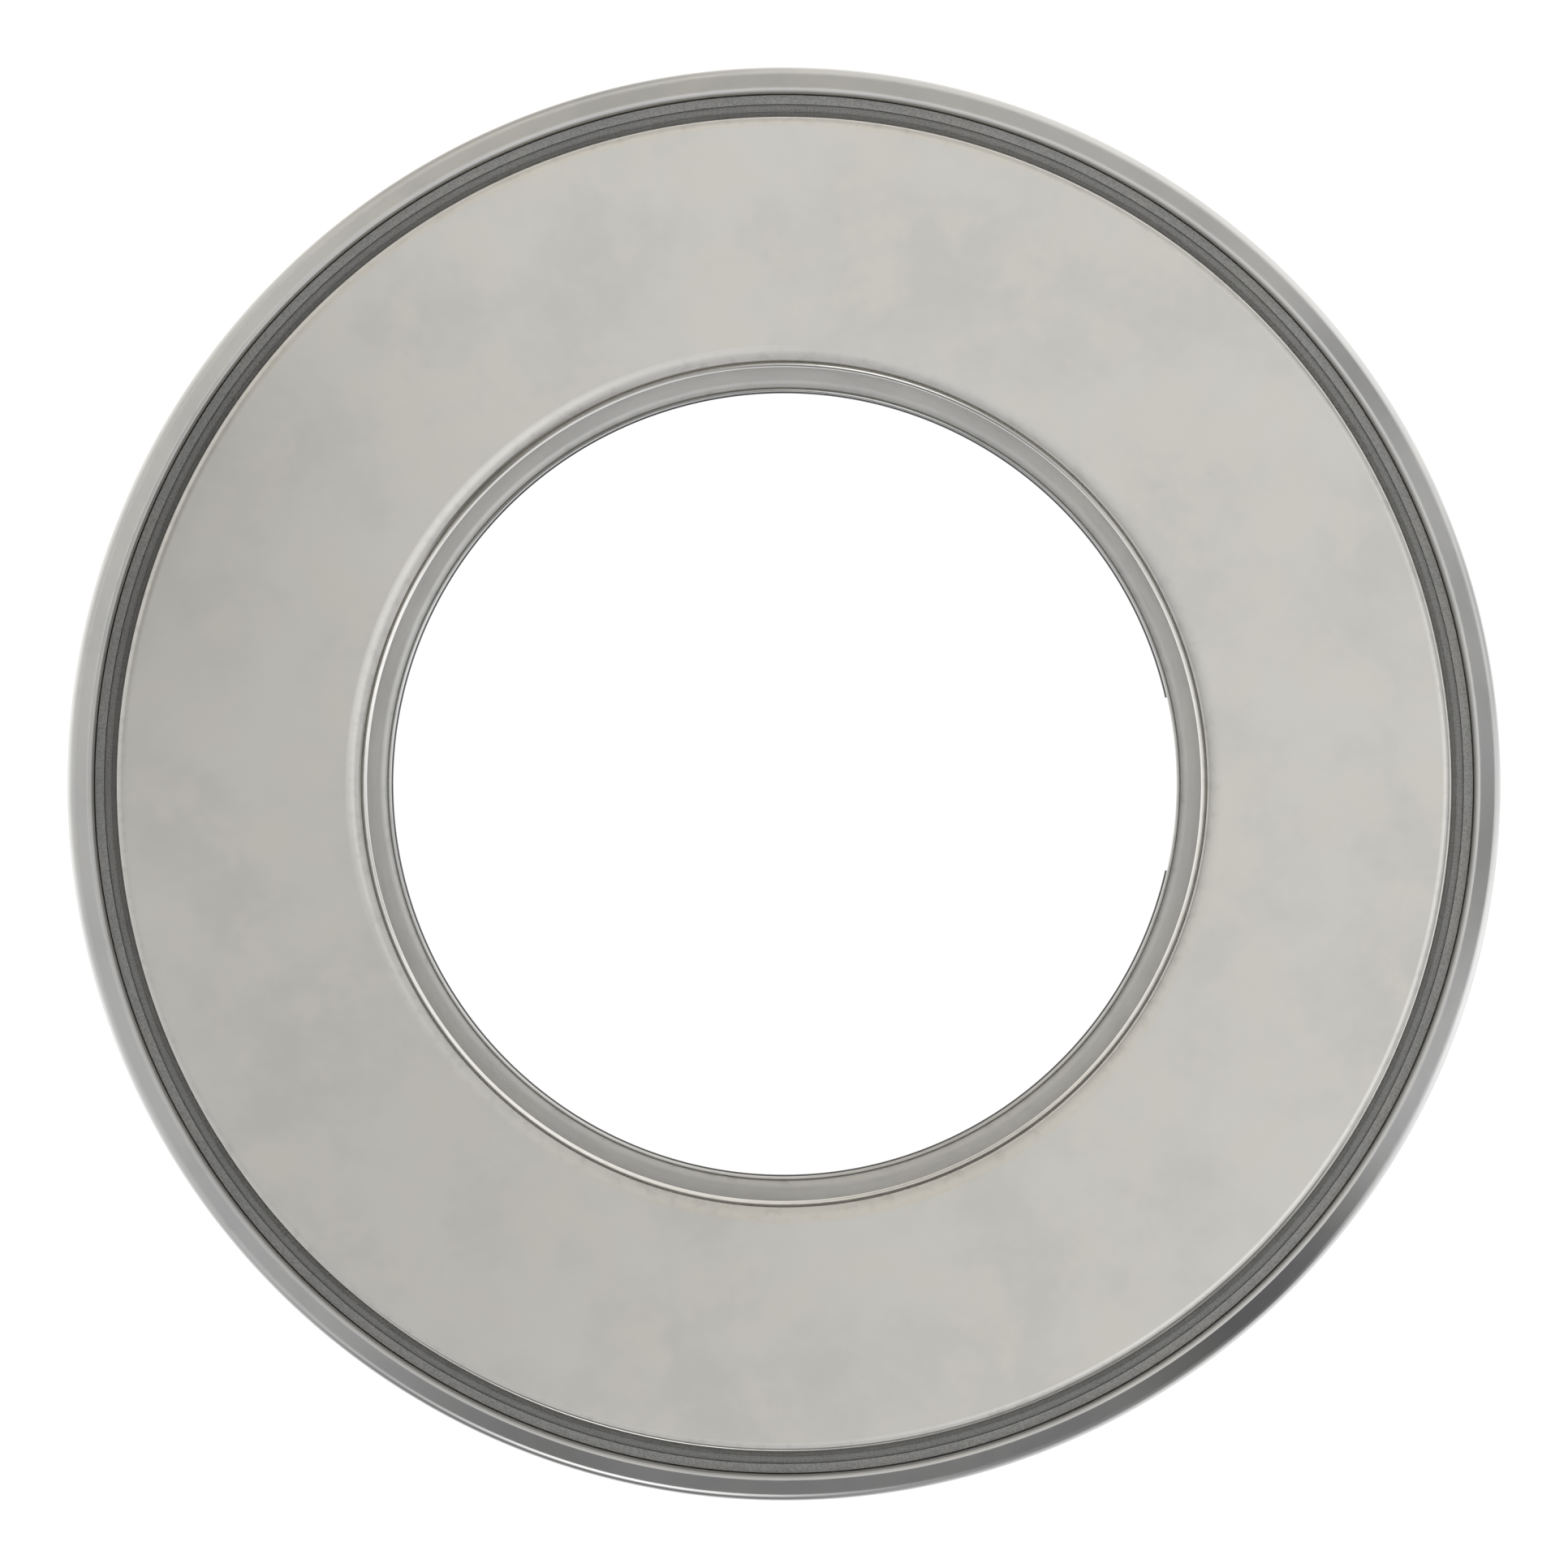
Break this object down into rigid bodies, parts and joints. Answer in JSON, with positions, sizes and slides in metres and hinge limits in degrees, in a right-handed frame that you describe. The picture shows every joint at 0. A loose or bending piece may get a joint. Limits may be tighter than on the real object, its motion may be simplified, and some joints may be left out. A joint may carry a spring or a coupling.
{
  "type": "thrust ball bearing",
  "caption": "Single direction thrust ball bearing: two grooved steel washers and a caged ring of balls, held together by a pressed steel outer shell.",
  "frame": {"origin": "centre of the lower washer's flat bottom face, on the bearing's axis", "axes": "+Z along the bearing's axis from the shaft washer to the housing washer; +X through the middle of the snap ring's gap and through the first ball"},
  "size_m": [0.055, 0.055, 0.016],
  "materials": {
    "ground_bearing_steel": "finely ground hardened bearing steel",
    "pressed_shell_steel": "smooth pressed steel sheet",
    "keeper_steel": "stamped flat, satin",
    "spring_steel": "oiled spring steel",
    "cage_steel": "pressed mild steel, satin",
    "ball_steel": "mirror polished chromium steel"
  },
  "bodies": {
    "shell": {"outer_shell": "pressed_shell_steel", "lower_washer": "ground_bearing_steel", "keeper_ring": "keeper_steel", "snap_ring": "spring_steel"},
    "housing_washer": {"upper_washer": "ground_bearing_steel"},
    "ball_cage": {"cage": "cage_steel"},
    "ball_01_body": {"ball_01": "ball_steel"},
    "ball_02_body": {"ball_02": "ball_steel"},
    "ball_03_body": {"ball_03": "ball_steel"},
    "ball_04_body": {"ball_04": "ball_steel"},
    "ball_05_body": {"ball_05": "ball_steel"},
    "ball_06_body": {"ball_06": "ball_steel"},
    "ball_07_body": {"ball_07": "ball_steel"},
    "ball_08_body": {"ball_08": "ball_steel"},
    "ball_09_body": {"ball_09": "ball_steel"},
    "ball_10_body": {"ball_10": "ball_steel"},
    "ball_11_body": {"ball_11": "ball_steel"},
    "ball_12_body": {"ball_12": "ball_steel"},
    "ball_13_body": {"ball_13": "ball_steel"},
    "ball_14_body": {"ball_14": "ball_steel"}
  },
  "joints": [
    {"name": "upper_washer_spin", "type": "hinge", "parent": "shell", "child": "housing_washer", "pos_m": [0, 0, 0.013], "axis": [0, 0, 1], "continuous": true},
    {"name": "cage_spin", "type": "hinge", "parent": "shell", "child": "ball_cage", "pos_m": [0, 0, 0.008], "axis": [0, 0, 1], "continuous": true},
    {"name": "ball_01_roll", "type": "hinge", "parent": "ball_cage", "child": "ball_01_body", "pos_m": [0.02075, 0, 0.008], "axis": [1, 0, 0], "continuous": true},
    {"name": "ball_02_roll", "type": "hinge", "parent": "ball_cage", "child": "ball_02_body", "pos_m": [0.0187, 0.009, 0.008], "axis": [0.901, 0.4339, 0], "continuous": true},
    {"name": "ball_03_roll", "type": "hinge", "parent": "ball_cage", "child": "ball_03_body", "pos_m": [0.01294, 0.01622, 0.008], "axis": [0.6235, 0.7818, 0], "continuous": true},
    {"name": "ball_04_roll", "type": "hinge", "parent": "ball_cage", "child": "ball_04_body", "pos_m": [0.00462, 0.02023, 0.008], "axis": [0.2225, 0.9749, 0], "continuous": true},
    {"name": "ball_05_roll", "type": "hinge", "parent": "ball_cage", "child": "ball_05_body", "pos_m": [-0.00462, 0.02023, 0.008], "axis": [-0.2225, 0.9749, 0], "continuous": true},
    {"name": "ball_06_roll", "type": "hinge", "parent": "ball_cage", "child": "ball_06_body", "pos_m": [-0.01294, 0.01622, 0.008], "axis": [-0.6235, 0.7818, 0], "continuous": true},
    {"name": "ball_07_roll", "type": "hinge", "parent": "ball_cage", "child": "ball_07_body", "pos_m": [-0.0187, 0.009, 0.008], "axis": [-0.901, 0.4339, 0], "continuous": true},
    {"name": "ball_08_roll", "type": "hinge", "parent": "ball_cage", "child": "ball_08_body", "pos_m": [-0.02075, 0, 0.008], "axis": [-1, 0, 0], "continuous": true},
    {"name": "ball_09_roll", "type": "hinge", "parent": "ball_cage", "child": "ball_09_body", "pos_m": [-0.0187, -0.009, 0.008], "axis": [-0.901, -0.4339, 0], "continuous": true},
    {"name": "ball_10_roll", "type": "hinge", "parent": "ball_cage", "child": "ball_10_body", "pos_m": [-0.01294, -0.01622, 0.008], "axis": [-0.6235, -0.7818, 0], "continuous": true},
    {"name": "ball_11_roll", "type": "hinge", "parent": "ball_cage", "child": "ball_11_body", "pos_m": [-0.00462, -0.02023, 0.008], "axis": [-0.2225, -0.9749, 0], "continuous": true},
    {"name": "ball_12_roll", "type": "hinge", "parent": "ball_cage", "child": "ball_12_body", "pos_m": [0.00462, -0.02023, 0.008], "axis": [0.2225, -0.9749, 0], "continuous": true},
    {"name": "ball_13_roll", "type": "hinge", "parent": "ball_cage", "child": "ball_13_body", "pos_m": [0.01294, -0.01622, 0.008], "axis": [0.6235, -0.7818, 0], "continuous": true},
    {"name": "ball_14_roll", "type": "hinge", "parent": "ball_cage", "child": "ball_14_body", "pos_m": [0.0187, -0.009, 0.008], "axis": [0.901, -0.4339, 0], "continuous": true}
  ],
  "couplings": [
    {"joint": "cage_spin", "follows": "upper_washer_spin", "ratio": 0.5},
    {"joint": "ball_01_roll", "follows": "upper_washer_spin", "ratio": -2.614},
    {"joint": "ball_02_roll", "follows": "upper_washer_spin", "ratio": -2.614},
    {"joint": "ball_03_roll", "follows": "upper_washer_spin", "ratio": -2.614},
    {"joint": "ball_04_roll", "follows": "upper_washer_spin", "ratio": -2.614},
    {"joint": "ball_05_roll", "follows": "upper_washer_spin", "ratio": -2.614},
    {"joint": "ball_06_roll", "follows": "upper_washer_spin", "ratio": -2.614},
    {"joint": "ball_07_roll", "follows": "upper_washer_spin", "ratio": -2.614},
    {"joint": "ball_08_roll", "follows": "upper_washer_spin", "ratio": -2.614},
    {"joint": "ball_09_roll", "follows": "upper_washer_spin", "ratio": -2.614},
    {"joint": "ball_10_roll", "follows": "upper_washer_spin", "ratio": -2.614},
    {"joint": "ball_11_roll", "follows": "upper_washer_spin", "ratio": -2.614},
    {"joint": "ball_12_roll", "follows": "upper_washer_spin", "ratio": -2.614},
    {"joint": "ball_13_roll", "follows": "upper_washer_spin", "ratio": -2.614},
    {"joint": "ball_14_roll", "follows": "upper_washer_spin", "ratio": -2.614}
  ]
}
